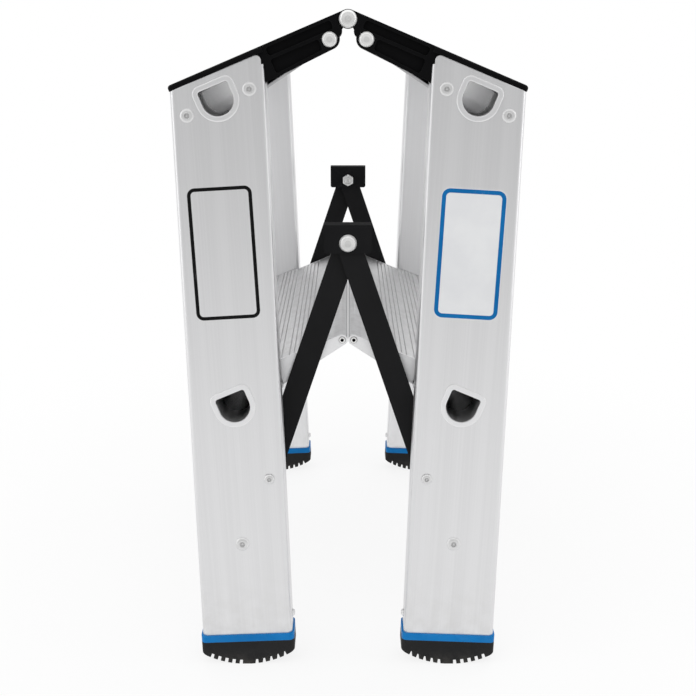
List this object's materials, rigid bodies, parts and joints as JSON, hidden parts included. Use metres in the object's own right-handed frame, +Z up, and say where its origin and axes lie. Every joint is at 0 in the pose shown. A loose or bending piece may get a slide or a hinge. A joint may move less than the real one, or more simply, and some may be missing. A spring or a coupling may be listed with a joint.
{
  "type": "folding step stool",
  "caption": "Folding step stool: hinged aluminium frames with grooved platform halves and lower treads, jointed spreader bars with stop plates, and rocker feet with toothed soles.",
  "frame": {"origin": "on the floor, midway between the feet of the folded stool", "axes": "+X from the left half frame to the right half frame, +Y from the front end to the back end, +Z up"},
  "size_m": [0.2694, 0.4464, 0.5145],
  "materials": {
    "stile_aluminium": "satin anodised extrusion",
    "tread_aluminium": "grooved anodised extrusion",
    "end_plate_metal": "satin sheet",
    "black_casting": "black powder coat",
    "black_steel": "black satin paint",
    "blue_plastic": "moulded, blue",
    "black_rubber": "moulded, matte",
    "black_plastic": "moulded",
    "bright_steel": "zinc plated"
  },
  "bodies": {
    "left_half": {"left_front_stile": "stile_aluminium", "left_front_hinge_casting": "black_casting", "left_front_foot_collar": "blue_plastic", "left_front_foot_sole": "black_rubber", "left_front_end_plate": "end_plate_metal", "left_back_stile": "stile_aluminium", "left_back_hinge_casting": "black_casting", "left_back_foot_collar": "blue_plastic", "left_back_foot_sole": "black_rubber", "left_back_end_plate": "end_plate_metal", "left_platform": "tread_aluminium", "left_tread": "tread_aluminium", "left_platform_screws": "bright_steel", "left_end_plate_screws": "bright_steel", "left_casting_rivets": "bright_steel", "left_foot_rivets": "bright_steel", "left_pivot_rivets": "bright_steel", "left_pivot_bushes": "black_plastic", "front_hinge_pin": "bright_steel", "back_hinge_pin": "bright_steel"},
    "right_half": {"right_front_stile": "stile_aluminium", "right_front_hinge_casting": "black_casting", "right_front_foot_collar": "blue_plastic", "right_front_foot_sole": "black_rubber", "right_front_end_plate": "end_plate_metal", "right_back_stile": "stile_aluminium", "right_back_hinge_casting": "black_casting", "right_back_foot_collar": "blue_plastic", "right_back_foot_sole": "black_rubber", "right_back_end_plate": "end_plate_metal", "right_platform": "tread_aluminium", "right_tread": "tread_aluminium", "right_platform_screws": "bright_steel", "right_end_plate_screws": "bright_steel", "right_casting_rivets": "bright_steel", "right_foot_rivets": "bright_steel", "right_pivot_rivets": "bright_steel", "right_pivot_bushes": "black_plastic"},
    "left_front_bar": {"left_front_spreader": "black_steel"},
    "right_front_bar": {"right_front_spreader": "black_steel", "front_bolt_head": "bright_steel"},
    "left_back_bar": {"left_back_spreader": "black_steel", "back_bolt_head": "bright_steel"},
    "right_back_bar": {"right_back_spreader": "black_steel"},
    "front_stop": {"front_stop_plate": "black_steel", "front_bolt_nut": "bright_steel", "front_bolt_end": "bright_steel"},
    "back_stop": {"back_stop_plate": "black_steel", "back_bolt_nut": "bright_steel", "back_bolt_end": "bright_steel"}
  },
  "joints": [
    {"name": "fold", "type": "hinge", "parent": "left_half", "child": "right_half", "pos_m": [0, 0, 0.50733], "axis": [0, -1, 0], "range_deg": [0, 45.6]},
    {"name": "left_front_bar_swing", "type": "hinge", "parent": "left_half", "child": "left_front_bar", "pos_m": [-0.06184, -0.177, 0.15482], "axis": [0, 1, 0], "range_deg": [0, 48.58]},
    {"name": "left_back_bar_swing", "type": "hinge", "parent": "left_half", "child": "left_back_bar", "pos_m": [-0.06184, 0.177, 0.15482], "axis": [0, 1, 0], "range_deg": [0, 48.58]},
    {"name": "right_front_bar_swing", "type": "hinge", "parent": "right_half", "child": "right_front_bar", "pos_m": [0.06184, -0.177, 0.15482], "axis": [0, -1, 0], "range_deg": [0, 48.58]},
    {"name": "right_back_bar_swing", "type": "hinge", "parent": "right_half", "child": "right_back_bar", "pos_m": [0.06184, 0.177, 0.15482], "axis": [0, -1, 0], "range_deg": [0, 48.58]},
    {"name": "front_stop_turn", "type": "hinge", "parent": "left_front_bar", "child": "front_stop", "pos_m": [0, -0.177, 0.33829], "axis": [0, -1, 0], "range_deg": [0, 71.38]},
    {"name": "back_stop_turn", "type": "hinge", "parent": "right_back_bar", "child": "back_stop", "pos_m": [0, 0.177, 0.33829], "axis": [0, 1, 0], "range_deg": [0, 71.38]}
  ],
  "couplings": [
    {"joint": "left_front_bar_swing", "follows": "fold", "ratio": 1.0652},
    {"joint": "left_back_bar_swing", "follows": "fold", "ratio": 1.0652},
    {"joint": "right_front_bar_swing", "follows": "fold", "ratio": 1.0652},
    {"joint": "right_back_bar_swing", "follows": "fold", "ratio": 1.0652},
    {"joint": "front_stop_turn", "follows": "fold", "ratio": 1.5652},
    {"joint": "back_stop_turn", "follows": "fold", "ratio": 1.5652}
  ]
}
